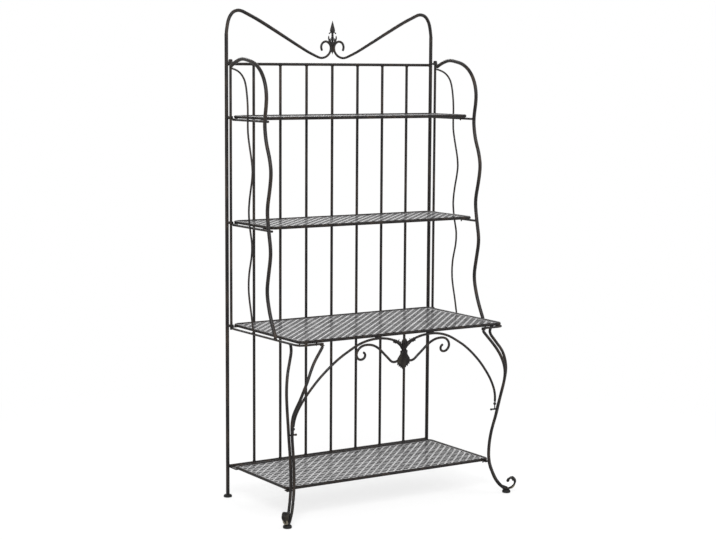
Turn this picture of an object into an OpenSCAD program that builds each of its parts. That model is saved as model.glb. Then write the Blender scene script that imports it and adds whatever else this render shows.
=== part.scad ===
// Folding plant shelf: a tall back frame with a scrolled crest, two side wings
// hinged to it, and four lift-off mesh shelves. Millimetres, +Z up, front at -Y.
// The origin is on the floor, under the centre of the whole object.

/* [Back frame] */
// Distance between the centres of the two back posts
post_spacing = 840; // [760:10:900]
// Diameter of the back posts and of the thick part of the crest
post_d = 12.5; // [10:0.5:14]
// Diameter of the upright rods between the rails
rod_d = 9.5; // [6:0.5:10]
// Number of upright rods
rod_count = 7; // [3:1:9]
// Diameter of the top and bottom rails
rail_d = 10; // [8:0.5:12]
// Distance of the top rail below the tops of the wings
top_rail_drop = 18.7; // [16:0.1:30]
// Distance of the bottom rail below the bottom shelf
bottom_rail_drop = 2.5; // [1:0.5:4]
// Height of the two peaks of the crest above the top rail
crest_h = 180; // [160:1:210]
// Height of the low points beside the crest's scrolls above the top rail
crest_low_h = 22; // [18:0.5:27]
// Diameter of the crest's scrolls
crest_scroll_d = 8.5; // [6:0.5:9]
// Height of the finial above the crest's low points
finial_h = 132; // [120:1:150]

/* [Side wings] */
// Distance from the posts back to front to the hinge rods
hinge_gap = 29; // [26:0.5:34]
// Diameter of the hinge rods
hinge_d = 9; // [7:0.5:10]
// Wall of the hinge eyes
eye_wall = 3.5; // [2.5:0.1:4]
// Height of each hinge eye
eye_h = 8; // [6:0.5:9]
// Diameter of the arms that hold the eyes
eye_arm_d = 6; // [4:0.5:7]
// Radial clearance of the hinge rods in their eyes
hinge_clear = 0.05; // [0.02:0.01:0.09]
// Height of the arch of the wings above the corner bars
wing_h = 915.5; // [900:0.5:930]
// Diameter of the wavy front bars
front_bar_d = 13; // [10:0.5:14]
// Diameter of the thin wavy inner bars
inner_bar_d = 7; // [5:0.5:8]
// Diameter of the shelf support bars and of the corner bars
support_d = 8; // [6:0.5:9]
// Diameter of each of the two rods of a leg
leg_d = 10.6; // [8:0.2:11]
// Width of the foot scrolls
foot_w = 22; // [18:0.5:25]
// Thickness of the foot scrolls
foot_t = 8; // [6:0.5:9]

/* [Feet] */
// Diameter of the foot pads
pad_d = 28; // [22:1:32]
// Height of the foot pads
pad_h = 9.5; // [8:0.5:11]

/* [Shelves] */
// Diameter of the rims of the shelves
rim_d = 10.5; // [8:0.5:11]
// Radius of the rim's corners, to its centre line
rim_corner_r = 18; // [14:1:22]
// Height of the top shelf, to the centre of its rim
top_shelf_z = 1316.5; // [1300:0.5:1330]
// Height of the second shelf
second_shelf_z = 960; // [940:0.5:980]
// Height of the middle shelf
middle_shelf_z = 606; // [596:0.5:616]
// Height of the bottom shelf
bottom_shelf_z = 112; // [100:0.5:124]
// Depth of the top shelf, between rim centres
top_shelf_depth = 230; // [215:1:234]
// Depth of the second shelf
second_shelf_depth = 264; // [240:1:268]
// Depth of the middle shelf
middle_shelf_depth = 447; // [440:1:450]
// Gap between the bottom shelf's front rim and the legs
bottom_front_gap = 3.1; // [3:0.1:20]
// Gap between the hinge rods and the upper shelves, to the rim centres
shelf_side_gap = 16; // [14:0.5:20]
// Distance of the upper shelves' back rims in front of the posts
shelf_back_gap = 19; // [17:0.5:22]
// Distance of the bottom shelf's back rim in front of the posts
bottom_back_gap = 37; // [34:0.5:40]
// Diameter of the locating pins under the shelves
pin_d = 5; // [4:0.5:6]
// Length of the locating pins below the mesh
pin_h = 16; // [12:1:20]
// Thickness of the rests and tabs that carry the shelves
tab_t = 3; // [2:0.5:4]
// Width of the tabs that carry the shelves
tab_w = 22; // [18:1:26]
// Thickness of the mesh
mesh_t = 1.6; // [1:0.1:2.4]
// Pitch of the mesh's square gaps, which stand on their corners
mesh_pitch = 61; // [56:1:90]
// Width of the strands between the gaps
mesh_strand = 4.5; // [3:0.5:8]

/* [Front apron] */
// Diameter of the apron's two arches
arch_d = 9; // [7:0.5:10]
// Diameter of the small scrolls under the arches
curl_d = 9; // [6:0.5:9.5]
// Slope of the apron, backwards per millimetre down
apron_slope = 0.134; // [0.12:0.002:0.15]
// Half width of the ornament in the middle of the apron
ornament_r = 27; // [24:1:30]
// Diameter of the pins at the ends of the arches
apron_pin_d = 4; // [3:0.5:5]

/* [Hidden] */

dark = "#2b2420";
bronze = "#4a3826";
black = "#161616";

// Gap between surfaces that rest on each other
seat = 0.3;
// Least width of the solid border round a mesh
mesh_border = 6;
// Facets of round solids, and sides of the bent tubes
fine = 48;
tube_sides = 10;

half_w = post_spacing / 2;
hinge_y = -hinge_gap;
eye_r = hinge_d / 2 + eye_wall;
shelf_x = half_w - shelf_side_gap;
bottom_x = shelf_x + 5;
top_front_y = -shelf_back_gap - top_shelf_depth;
second_front_y = -shelf_back_gap - second_shelf_depth;
middle_front_y = -shelf_back_gap - middle_shelf_depth;

// Centre heights of the bars that carry the shelves, and undersides of the rims
under_rim = rim_d / 2 + seat;
top_support_z = top_shelf_z - under_rim - seat - support_d / 2;
second_support_z = second_shelf_z - under_rim - seat - support_d / 2;
corner_z = middle_shelf_z - under_rim - support_d / 2;
top_rail_z = corner_z + wing_h - top_rail_drop;
bottom_rail_z = bottom_shelf_z - bottom_rail_drop;
crest_z = top_rail_z + crest_h;
crest_low_z = top_rail_z + crest_low_h;
// The bars of a wing lie side by side: the support bars inside, and the hinge
// rod, the inner bar and the front bar along their outer side
support_x = half_w - hinge_d / 2 - seat - support_d / 2;
support_side = support_x + support_d / 2 + seat;
inner_x = support_side + inner_bar_d / 2;
wing_x = support_side + front_bar_d / 2;

// Vectors and smooth curves
function unit(v) = v / norm(v);
function mid_heading(a, b, c) =
    unit((b - a) / ((b - a) * (b - a)) + (c - b) / ((c - b) * (c - b)));
function mirrored(t, c) = 2 * (c * t) * c - t;
function headings(p) =
    let (n = len(p), m = [for (i = [1 : n - 2]) mid_heading(p[i - 1], p[i], p[i + 1])])
    concat([mirrored(m[0], unit(p[1] - p[0]))], m, [mirrored(m[n - 3], unit(p[n - 1] - p[n - 2]))]);
function hermite(a, s, b, t, u) =
    let (l = norm(b - a))
    (2 * u ^ 3 - 3 * u ^ 2 + 1) * a + (u ^ 3 - 2 * u ^ 2 + u) * l * s
    + (3 * u ^ 2 - 2 * u ^ 3) * b + (u ^ 3 - u ^ 2) * l * t;
function smooth(p, k) =
    let (h = headings(p), n = len(p))
    concat([for (i = [0 : n - 2]) for (j = [0 : k - 1]) hermite(p[i], h[i], p[i + 1], h[i + 1], j / k)],
           [p[n - 1]]);
function spread(d, k) =
    concat([for (i = [0 : len(d) - 2]) for (j = [0 : k - 1]) d[i] + (d[i + 1] - d[i]) * j / k],
           [d[len(d) - 1]]);
function crossing_y(p, z, y_max) =
    [for (i = [0 : len(p) - 2])
        if (p[i][1] < y_max && (p[i][2] - z) * (p[i + 1][2] - z) <= 0 && p[i][2] != p[i + 1][2])
            p[i][1] + (p[i + 1][1] - p[i][1]) * (z - p[i][2]) / (p[i + 1][2] - p[i][2])][0];

// A bent tube along the points; side is a direction square to the bend's plane,
// d the diameter at each point, and wide stretches the section along side.
module tube(p, d, side, wide = 1, sides = tube_sides) {
    n = len(p);
    t = [for (i = [0 : n - 1]) unit(p[min(i + 1, n - 1)] - p[max(i - 1, 0)])];
    rings = [for (i = [0 : n - 1])
        let (across = unit(cross(t[i], side)), over = cross(across, t[i]))
        for (j = [0 : sides - 1])
            let (a = 360 * (j + 0.5) / sides)
            p[i] + d[i] / 2 * (cos(a) * across + wide * sin(a) * over)];
    walls = [for (i = [0 : n - 2], j = [0 : sides - 1])
        let (a = i * sides + j, b = i * sides + (j + 1) % sides)
        each [[a, a + sides, b + sides], [a, b + sides, b]]];
    ends = [[for (j = [0 : sides - 1]) j],
            [for (j = [sides - 1 : -1 : 0]) (n - 1) * sides + j]];
    polyhedron(points = rings, faces = concat(walls, ends));
}
module round_tube(p, d, side, wide = 1, sides = tube_sides) {
    tube(p, [for (q = p) d], side, wide, sides);
}
module rod(a, b, d) {
    v = b - a;
    translate(a)
        rotate([0, acos(v[2] / norm(v)), atan2(v[1], v[0])])
        cylinder(h = norm(v), d = d, $fn = fine);
}

// Outlines of the wings, as distance in front of the hinge rod and height above
// the corner bar, for a wing as high as drawn_wing_h.
drawn_wing_h = 914;
front_bar_outline = [[hinge_d / 2 + 0.2 * front_bar_d, 888], [24, 896], [52, 906], [84, 912], [124, 908], [168, 898], [214, 869],
    [241, 826], [248, 787], [236, 702], [247, 640], [268, 590], [277, 548], [270, 495], [253, 420],
    [263, 350], [275, 285], [262, 215], [251.5, 155], [266, 93], [290, 40]];
inner_bar_outline = [[hinge_d / 2 + 0.15 * inner_bar_d, 881], [31, 877], [66, 866], [96, 842], [109, 809], [118, 742], [117, 670],
    [134, 608], [150, 540], [134, 473], [122, 406], [134, 339], [144, 305], [141, 255], [125, 204],
    [121, 137], [138, 70]];
function wing_point(x, p) = [x, hinge_y - p[0], corner_z + p[1] * wing_h / drawn_wing_h];

// Both bars stand on the corner bar, the front one at the steeper lean
on_corner_z = corner_z + support_d / 2 + seat;
front_bar_path = smooth(concat([for (p = front_bar_outline) wing_point(wing_x, p)],
    [[wing_x, hinge_y - 308, on_corner_z + 0.54 * front_bar_d / 2]]), 3);
inner_bar_path = smooth(concat([for (i = [0 : len(inner_bar_outline) - 1])
    wing_point(i < 3 ? half_w - i * (half_w - inner_x) / 3 : inner_x, inner_bar_outline[i])],
    [[inner_x, hinge_y - 153, on_corner_z + 0.24 * inner_bar_d / 2]]), 2);

// Sizes that the outlines of the legs were drawn for
drawn_half_w = 420;
drawn_front_y = -466;
drawn_low_z = 110;
drawn_leg_top = 593.4;
leg_top_z_factor = (corner_z - support_d / 2 - seat - drawn_low_z) / (drawn_leg_top - drawn_low_z);

// The legs lie along the diagonals of the front corners. A place on one is given
// as distance out along the diagonal, distance across it, and height.
function corner_point(out, across, z) =
    [(out + across) / sqrt(2) + half_w - drawn_half_w,
     (across - out) / sqrt(2) + middle_front_y - drawn_front_y,
     z];
function leg_height(z) = z > drawn_low_z ? drawn_low_z + (z - drawn_low_z) * leg_top_z_factor : z;
side_rod_across = -0.5;
rod_gap = 0.6;
front_rod_across = side_rod_across - leg_d - rod_gap;
foot_across = (side_rod_across + front_rod_across) / 2;
// Where the two rods of a leg end and the foot scroll starts
ankle_out = 586;
ankle_z = 72;
side_rod_outline = [[577, drawn_leg_top - 0.19 * leg_d], [569, 572], [586, 543], [614, 505], [628, 452], [622, 395], [608.5, 336],
    [596, 277], [581, 219], [573, 160], [575, 105], [ankle_out, ankle_z]];
front_rod_top = [[321.5, -468.3, drawn_leg_top - 0.31 * leg_d], [340, -473, 567], [361, -479, 541], [380, -487, 511], [394, -491, 481],
    [406, -487, 450], [413, -478, 421], [419, -463, 392], [422, -449, 364], [421, -440, 335],
    [417, -434, 307]];
front_rod_outline = [[596, 277], [581, 219], [573, 160], [575, 105], [ankle_out, ankle_z]];
leg_front_path = smooth(concat(
    [for (p = front_rod_top)
        [p[0] + half_w - drawn_half_w, p[1] + middle_front_y - drawn_front_y, leg_height(p[2])]],
    [for (p = front_rod_outline) corner_point(p[0], front_rod_across, leg_height(p[1]))]), 2);
leg_side_path = smooth([for (p = side_rod_outline)
    corner_point(p[0], side_rod_across, leg_height(p[1]))], 3);
// Where the centre of a leg's side rod is at a height
function leg_place(z) =
    [for (i = [0 : len(leg_side_path) - 2])
        let (a = leg_side_path[i], b = leg_side_path[i + 1])
        if (a[2] > z && b[2] <= z) a + (b - a) * (a[2] - z) / (a[2] - b[2])][0];
bottom_front_y = leg_place(bottom_shelf_z)[1] + leg_d / 2 + bottom_front_gap + rim_d / 2;
drawn_foot_z = 13.5;
pad_lift = pad_h + foot_t / 2 - drawn_foot_z;
foot_outline = [[0.2, -0.6], [12, -25], [28, -45], [46, -58.5 + pad_lift], [66, -53.5], [78, -43],
    [83.5, -31], [78, -20], [67, -16], [59, -21], [56, -29]];
pad_out = 637;

// Plan of the corner bar, from the hinge rod to its end under the front rim
corner_front_y = middle_front_y - 2;
corner_bar_path = smooth([[wing_x, hinge_y - hinge_d / 2 - seat, corner_z],
    [wing_x - 3, hinge_y - 150, corner_z],
    [wing_x - 6, hinge_y - 300, corner_z],
    [wing_x - 9, corner_front_y + 40, corner_z],
    [wing_x - 10, corner_front_y + 20, corner_z],
    [wing_x - 17, corner_front_y + 6, corner_z],
    [wing_x - 32, corner_front_y, corner_z],
    [wing_x - 60, corner_front_y, corner_z],
    [half_w - 102, corner_front_y, corner_z]], 3);

// The apron hangs from the middle shelf's front rim and slopes back as it goes down
drawn_rim_z = 606;
drawn_drop = 8;
drawn_arch_x = 408.8;
drawn_middle_x = 30;
apron_lift = middle_shelf_z - (rim_d + arch_d) / 2 + drawn_drop - drawn_rim_z;
function apron_x(x) =
    x + (half_w - drawn_half_w) * max(0, x - drawn_middle_x) / (drawn_arch_x - drawn_middle_x);
function apron_point(p) =
    [apron_x(p[0]), middle_front_y + 1 + apron_slope * (drawn_rim_z - 12 - p[1]), p[1] + apron_lift];
arch_outline = [[13.5, 575], [26, 579], [43, 586.5], [70, 594], [108, 597.6], [148, 593.5], [184, 582],
    [214, 566], [249, 545], [278, 523], [303, 501], [325, 479.5], [344, 458], [361, 437], [377, 415],
    [390, 393], [400.5, 371], [406.8, 349], [408.8, 325]];
curl_outline = [[16.5, 516], [28, 510.5], [43, 512], [58, 525], [77, 542], [99, 562], [123, 575.5],
    [148, 579.5], [169, 576], [183, 563], [187, 549], [180, 535], [167, 530], [155, 535], [152, 546],
    [161, 555]];

// Outline of the right half of the crest, from the post inwards
crest_outline = [[half_w, top_rail_z + 97], [half_w - 3, crest_z - 56], [half_w - 12, crest_z - 24],
    [half_w - 28, crest_z - 5], [half_w - 50, crest_z], [half_w - 78, crest_z - 10],
    [0.571 * half_w, crest_z - 61], [0.357 * half_w, crest_low_z + 48], [72, crest_low_z + 9],
    [45, crest_low_z + 0.5], [23, crest_low_z + 7], [8.5, crest_low_z + 24], [7.5, crest_low_z + 42],
    [16, crest_low_z + 54], [29, crest_low_z + 58], [41, crest_low_z + 52], [46, crest_low_z + 40],
    [42, crest_low_z + 26]];
crest_sizes = [for (i = [0 : 17]) i < 7 ? post_d : max(crest_scroll_d, post_d - (i - 6) * 1.5)];

// The whole object is centred over the origin from front to back
front_reach = -min([for (p = leg_front_path) p[1]]) + leg_d / 2;
shift_y = (front_reach - pad_d / 2) / 2;

module on_left() {
    mirror([1, 0, 0]) children();
}
module both() {
    children();
    on_left() children();
}
module placed() {
    translate([0, shift_y, 0]) children();
}

// Back frame
module post() {
    color(dark)
    translate([half_w, 0, pad_h])
        cylinder(h = top_rail_z + 97 - seat - pad_h, d = post_d, $fn = fine);
}
module crest() {
    color(dark)
    tube(smooth([for (p = crest_outline) [p[0], 0, p[1]]], 3), spread(crest_sizes, 3), [0, 1, 0]);
}
module rail(z) {
    color(dark)
    rod([-half_w + post_d / 2, 0, z], [half_w - post_d / 2, 0, z], rail_d);
}
module back_rods() {
    gap = post_spacing / (rod_count + 1);
    low = bottom_rail_z + rail_d / 2;
    color(dark)
    for (i = [1 : rod_count]) {
        translate([i * gap - half_w, 0, low])
            cylinder(h = top_rail_z - rail_d / 2 - low, d = rod_d, $fn = fine);
    }
}
module finial() {
    low = crest_low_z + 24;
    stem_r = 7.5 - crest_scroll_d / 2 - seat;
    cup_z = crest_low_z + 62;
    tip = crest_low_z + finial_h;
    color(bronze)
    union() {
        // Tongue between the scrolls, leafy cup and neck
        translate([0, 0, low]) cylinder(h = cup_z - low + 1, r = stem_r, $fn = fine);
        translate([0, 0, cup_z]) cylinder(h = 11, r1 = 15, r2 = 9, $fn = fine);
        translate([0, 0, cup_z + 11]) cylinder(h = 7, r = 5, $fn = fine);
        // Spearhead with barbs
        translate([0, 2.5, 0]) rotate([90, 0, 0]) linear_extrude(5)
            polygon([[-5, cup_z + 17], [-12.6, tip - 45], [-8, tip - 41], [-11, tip - 33], [-7, tip - 16],
                [0, tip], [7, tip - 16], [11, tip - 33], [8, tip - 41], [12.6, tip - 45],
                [5, cup_z + 17]]);
        // Two leaf prongs
        for (s = [-1, 1]) {
            translate([0, 2.5, 0]) rotate([90, 0, 0]) linear_extrude(5)
                polygon([[s * 5, cup_z + 6], [s * 16, cup_z + 2], [s * 15, cup_z + 16], [s * 11, cup_z + 9]]);
        }
    }
}
module eye(z) {
    difference() {
        union() {
            translate([half_w, hinge_y, z]) cylinder(h = eye_h, r = eye_r, $fn = fine);
            rod([half_w, -post_d / 2, z + eye_h / 2], [half_w, hinge_y + eye_r - 2, z + eye_h / 2], eye_arm_d);
        }
        translate([half_w, hinge_y, z - 1])
            cylinder(h = eye_h + 2, r = hinge_d / 2 + hinge_clear, $fn = fine);
    }
}
top_eye_z = corner_z + 888 * wing_h / drawn_wing_h + front_bar_d / 2 + 1.5;
module hinge_eyes() {
    color(dark)
    union() {
        eye(top_eye_z);
        eye(top_support_z + support_d / 2 + seat);
        eye(second_support_z + support_d / 2 + seat);
        eye(corner_z + support_d / 2 + seat);
    }
}
// Small plates on the posts and on the bottom rail, under the shelves' back corners
module rest(z, front_y, back = post_d / 2) {
    x = shelf_x - 11;
    translate([x, front_y - rim_d, z - under_rim - tab_t])
        cube([half_w - post_d / 2 - x, back - front_y + rim_d, tab_t]);
}
module shelf_rests() {
    color(dark)
    both() {
        rest(top_shelf_z, -shelf_back_gap);
        rest(second_shelf_z, -shelf_back_gap);
        rest(middle_shelf_z, -shelf_back_gap);
        rest(bottom_shelf_z, -bottom_back_gap, -rail_d / 2);
    }
}
module back_feet() {
    color(black)
    both() translate([half_w, 0, 0]) cylinder(h = pad_h, d = pad_d, $fn = fine);
}

// Side wings
module hinge_rod() {
    low = corner_z - support_d / 2 - 1;
    cap_z = top_eye_z + eye_h + seat;
    color(dark)
    translate([half_w, hinge_y, 0])
    union() {
        translate([0, 0, low]) cylinder(h = cap_z - low + 1, d = hinge_d, $fn = fine);
        translate([0, 0, cap_z]) cylinder(h = 4, r = eye_r - 1, $fn = fine);
        translate([0, 0, cap_z + 4]) cylinder(h = 3, r1 = eye_r - 1, r2 = eye_r - 3.5, $fn = fine);
    }
}
module front_bar() {
    color(dark) round_tube(front_bar_path, front_bar_d, [1, 0, 0]);
}
module inner_bar() {
    color(dark) round_tube(inner_bar_path, inner_bar_d, [1, 0, 0], 1, 8);
}
function front_bar_y(z) = crossing_y(front_bar_path, z, hinge_y - 190);
module support_bars() {
    color(dark)
    for (z = [top_support_z, second_support_z]) {
        rod([support_x, hinge_y - 1, z], [support_x, front_bar_y(z) - front_bar_d / 4, z], support_d);
    }
}
module corner_bar() {
    color(dark) round_tube(corner_bar_path, support_d, [0, 0, 1]);
}
module leg_rods() {
    color(dark)
    union() {
        round_tube(leg_side_path, leg_d, [1, 1, 0]);
        round_tube(leg_front_path, leg_d, [1, 1, 0.3]);
    }
}
module foot_scroll() {
    color(bronze)
    round_tube(smooth([for (p = foot_outline)
        corner_point(ankle_out + p[0], foot_across, ankle_z + p[1])], 3),
        foot_t, [1, 1, 0], foot_w / foot_t);
}
module foot_pad() {
    p = corner_point(pad_out, foot_across, 0);
    color(black)
    translate(p) cylinder(h = pad_h, d = pad_d, $fn = fine);
}
pin_inset = rim_d / 2 + pin_d / 2;
top_pin = [shelf_x - pin_inset, top_front_y + 28];
second_pin = [shelf_x - pin_inset, second_front_y + 49];
bottom_pin = [bottom_x - pin_inset, bottom_front_y + 17];
middle_pins = [[shelf_x - pin_inset, middle_front_y + 20], [half_w - 80, middle_front_y + pin_inset]];
pin_play = 2.5;
slot = pin_d / 2 + pin_play;
// A pair of fingers on a support bar, one on each side of the shelf's pin
module wing_tab(pin, z) {
    inner = pin[0] - 3;
    for (y = [pin[1] - tab_w / 2, pin[1] + slot]) {
        translate([inner, y, z - under_rim - tab_t])
            cube([support_x - support_d / 2 - inner, tab_w / 2 - slot, tab_t]);
    }
}
module shelf_tabs() {
    color(dark) {
        wing_tab(top_pin, top_shelf_z);
        wing_tab(second_pin, second_shelf_z);
    }
}
// Plate on a leg, under the front corner of the bottom shelf and in front of its pin
module leg_tab() {
    front = leg_place(bottom_shelf_z)[1] + leg_d / 2;
    inner = bottom_pin[0] - 8;
    color(dark)
    translate([inner, front, bottom_shelf_z - under_rim - tab_t])
        cube([bottom_x + 5 - inner, bottom_pin[1] - slot - front, tab_t]);
}
arch_end = apron_point(arch_outline[len(arch_outline) - 1]);
peg_z = arch_end[2] - 26;
peg_d = 6;
peg_ball_r = 4;
// A pin with a ball at its end, standing on the origin
module ball_pin(pin_r, ball_r, ball_z) {
    low = -acos(pin_r / ball_r);
    rotate_extrude($fn = fine)
        polygon(concat([[0, 0], [pin_r, 0]],
            [for (i = [0 : 12]) let (a = low + (90 - low) * i / 13) [ball_r * cos(a), ball_z + ball_r * sin(a)]],
            [[0, ball_z + ball_r]]));
}
module apron_peg() {
    leg = leg_place(peg_z);
    long = leg[0] - leg_d / 2 - arch_end[0] + 12;
    color(dark)
    translate([leg[0] - leg_d / 2, leg[1] + 0.6, peg_z])
        rotate([0, -90, 0]) ball_pin(peg_d / 2, peg_ball_r, long);
}

// Shelves
module rim(x, back_y, front_y, z) {
    r = rim_corner_r;
    color(dark)
    translate([0, 0, z])
    union() {
        for (s = [-1, 1]) {
            rod([s * x, back_y - r, 0], [s * x, front_y + r, 0], rim_d);
        }
        for (y = [back_y, front_y]) {
            rod([r - x, y, 0], [x - r, y, 0], rim_d);
        }
        for (c = [[x - r, back_y - r, 0], [r - x, back_y - r, 90], [r - x, front_y + r, 180],
                [x - r, front_y + r, 270]]) {
            translate([c[0], c[1], 0]) rotate([0, 0, c[2]])
                rotate_extrude(angle = 90, $fn = 96) translate([r, 0]) circle(d = rim_d, $fn = fine);
        }
    }
}
// Sheet with rows of square gaps that stand on their corners, and a solid border
module mesh(x, back_y, front_y, z) {
    inset = rim_d / 2;
    w = 2 * (x - inset);
    h = back_y - front_y - rim_d;
    nx = floor((w - 2 * mesh_border) / mesh_pitch);
    ny = floor((h - 2 * mesh_border) / mesh_pitch);
    gap = (mesh_pitch - mesh_strand * sqrt(2)) / 2;
    corner = rim_corner_r - inset;
    color(bronze)
    translate([0, (back_y + front_y) / 2, z - mesh_t / 2])
    linear_extrude(mesh_t)
    difference() {
        union() {
            square([w - 2 * corner, h], center = true);
            square([w, h - 2 * corner], center = true);
            for (c = [-1, 1], s = [-1, 1]) {
                translate([c * (w / 2 - corner), s * (h / 2 - corner)]) circle(r = corner, $fn = fine);
            }
        }
        for (i = [1 : 2 * nx - 1], j = [1 : 2 * ny - 1]) {
            if ((i + j) % 2 == 0) {
                translate([(i - nx) * mesh_pitch / 2, (j - ny) * mesh_pitch / 2])
                    polygon([[-gap, 0], [0, -gap], [gap, 0], [0, gap]]);
            }
        }
    }
}
module pins(places, z) {
    top = z - mesh_t / 2;
    color(dark)
    both()
    for (p = places) {
        translate([p[0], p[1], top - pin_h])
        union() {
            cylinder(h = 3, d1 = 1.5, d2 = pin_d, $fn = fine);
            translate([0, 0, 3]) cylinder(h = pin_h - 3, d = pin_d, $fn = fine);
        }
    }
}

// Apron
module apron_arches() {
    color(dark)
    both() round_tube(smooth([for (p = arch_outline) apron_point(p)], 2), arch_d, [0, 1, 0], 1, 8);
}
module apron_scrolls() {
    color(dark)
    both() round_tube(smooth([for (p = curl_outline) apron_point(p)], 2), curl_d, [0, 1, 0], 1, 8);
}
module apron_collars() {
    color(bronze)
    both() {
        a = apron_point([17, 576.4]);
        b = apron_point([23, 578]);
        difference() {
            rod(a, b, arch_d + 4);
            rod(2 * a - b, 2 * b - a, arch_d + 0.4);
        }
    }
}
module apron_ornament() {
    low = apron_point([0, 482]);
    tall = 112;
    tilt = atan(apron_slope);
    r = ornament_r;
    color(bronze)
    translate(low) rotate([tilt, 0, 0])
    union() {
        rotate_extrude($fn = fine)
            polygon([[0, 0], [6, 6], [12, 15], [13, 22], [9, 45], [8, 70], [9, 82], [8, 95], [7, 100],
                [2, tall - 1], [0, tall]]);
        translate([0, 4, 0]) rotate([90, 0, 0]) linear_extrude(8)
            polygon([[0, 0], [-8, 6], [-r, 13], [-r + 3, 20], [-16, 26], [-12, 45], [-11, 72], [-9, 80],
                [-11.5, 99], [-5, 106], [0, tall], [5, 106], [11.5, 99], [9, 80], [11, 72], [12, 45],
                [16, 26], [r - 3, 20], [r, 13], [8, 6]]);
    }
}
arch_ball_r = arch_d / 2 + 0.8;
pin_low_z = peg_z + peg_ball_r + seat;
// Balls at the ends of the arches, with thin pins down to just above the legs' pegs
module apron_pins() {
    color(dark)
    both() translate([arch_end[0], arch_end[1], pin_low_z])
        ball_pin(apron_pin_d / 2, arch_ball_r, arch_end[2] - arch_ball_r - seat - pin_low_z);
}

placed() on_left() post();  // post_left
placed() post();  // post_right
placed() on_left() crest();  // crest_left
placed() crest();  // crest_right
placed() rail(top_rail_z);  // top_rail
placed() rail(bottom_rail_z);  // bottom_rail
placed() back_rods();
placed() finial();
placed() on_left() hinge_eyes();  // hinge_eyes_left
placed() hinge_eyes();  // hinge_eyes_right
placed() shelf_rests();
placed() back_feet();
placed() on_left() hinge_rod();  // hinge_rod_left
placed() on_left() front_bar();  // front_bar_left
placed() on_left() inner_bar();  // inner_bar_left
placed() on_left() support_bars();  // support_bars_left
placed() on_left() corner_bar();  // corner_bar_left
placed() on_left() leg_rods();  // leg_rods_left
placed() on_left() foot_scroll();  // foot_scroll_left
placed() on_left() foot_pad();  // foot_pad_left
placed() on_left() shelf_tabs();  // shelf_tabs_left
placed() on_left() leg_tab();  // leg_tab_left
placed() on_left() apron_peg();  // apron_peg_left
placed() hinge_rod();  // hinge_rod_right
placed() front_bar();  // front_bar_right
placed() inner_bar();  // inner_bar_right
placed() support_bars();  // support_bars_right
placed() corner_bar();  // corner_bar_right
placed() leg_rods();  // leg_rods_right
placed() foot_scroll();  // foot_scroll_right
placed() foot_pad();  // foot_pad_right
placed() shelf_tabs();  // shelf_tabs_right
placed() leg_tab();  // leg_tab_right
placed() apron_peg();  // apron_peg_right
placed() rim(shelf_x, -shelf_back_gap, top_front_y, top_shelf_z);  // top_shelf_rim
placed() mesh(shelf_x, -shelf_back_gap, top_front_y, top_shelf_z);  // top_shelf_mesh
placed() pins([top_pin], top_shelf_z);  // top_shelf_pins
placed() rim(shelf_x, -shelf_back_gap, second_front_y, second_shelf_z);  // second_shelf_rim
placed() mesh(shelf_x, -shelf_back_gap, second_front_y, second_shelf_z);  // second_shelf_mesh
placed() pins([second_pin], second_shelf_z);  // second_shelf_pins
placed() rim(shelf_x, -shelf_back_gap, middle_front_y, middle_shelf_z);  // middle_shelf_rim
placed() mesh(shelf_x, -shelf_back_gap, middle_front_y, middle_shelf_z);  // middle_shelf_mesh
placed() pins(middle_pins, middle_shelf_z);  // middle_shelf_pins
placed() rim(bottom_x, -bottom_back_gap, bottom_front_y, bottom_shelf_z);  // bottom_shelf_rim
placed() mesh(bottom_x, -bottom_back_gap, bottom_front_y, bottom_shelf_z);  // bottom_shelf_mesh
placed() pins([bottom_pin], bottom_shelf_z);  // bottom_shelf_pins
placed() apron_arches();
placed() apron_scrolls();
placed() apron_collars();
placed() apron_ornament();
placed() apron_pins();
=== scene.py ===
import math
import random

import bmesh
import bpy
from mathutils import Matrix, Vector


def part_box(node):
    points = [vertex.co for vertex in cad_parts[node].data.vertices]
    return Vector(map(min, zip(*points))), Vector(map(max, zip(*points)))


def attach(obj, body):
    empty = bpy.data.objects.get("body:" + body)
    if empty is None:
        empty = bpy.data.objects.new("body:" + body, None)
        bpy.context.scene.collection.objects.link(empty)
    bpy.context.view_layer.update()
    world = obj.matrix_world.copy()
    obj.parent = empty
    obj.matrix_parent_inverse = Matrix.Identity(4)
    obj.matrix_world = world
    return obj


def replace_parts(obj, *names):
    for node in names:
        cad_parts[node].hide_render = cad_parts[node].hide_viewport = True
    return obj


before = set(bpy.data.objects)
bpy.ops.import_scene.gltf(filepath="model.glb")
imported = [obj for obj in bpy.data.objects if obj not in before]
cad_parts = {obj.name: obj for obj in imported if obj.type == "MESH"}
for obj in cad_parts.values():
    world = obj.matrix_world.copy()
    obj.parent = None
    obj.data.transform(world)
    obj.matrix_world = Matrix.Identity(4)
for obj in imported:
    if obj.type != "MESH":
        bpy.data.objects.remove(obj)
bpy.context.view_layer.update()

bl_info = {
    "name": "Folding plant shelf",
    "version": (1, 0, 0),
    "blender": (4, 5, 0),
    "location": "View3D > Sidebar > Plant shelf",
    "description": "Finishes, mesh sheets, castings, welds and stage for a folding plant shelf",
    "category": "Add Mesh",
}

SIDES = (("left", -1), ("right", 1))
SHELVES = ("top_shelf", "second_shelf", "middle_shelf", "bottom_shelf")
PADS = ("foot_pad", "back_feet")
CASTINGS = ("finial", "apron_ornament", "apron_collars", "foot_scroll")
BENT_BARS = ("crest", "front_bar", "inner_bar", "corner_bar", "leg_rods", "apron_arches",
             "apron_scrolls")
PHOTO_WIDTH = 716


def node_box(name):
    """Low corner, high corner and middle of a node."""
    low, high = (Vector(c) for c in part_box(name))
    return low, high, (low + high) / 2


# Middle lines of the posts
POST_Y = node_box("post_left")[2].y
POST_X = node_box("post_right")[2].x


# Settings

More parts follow.
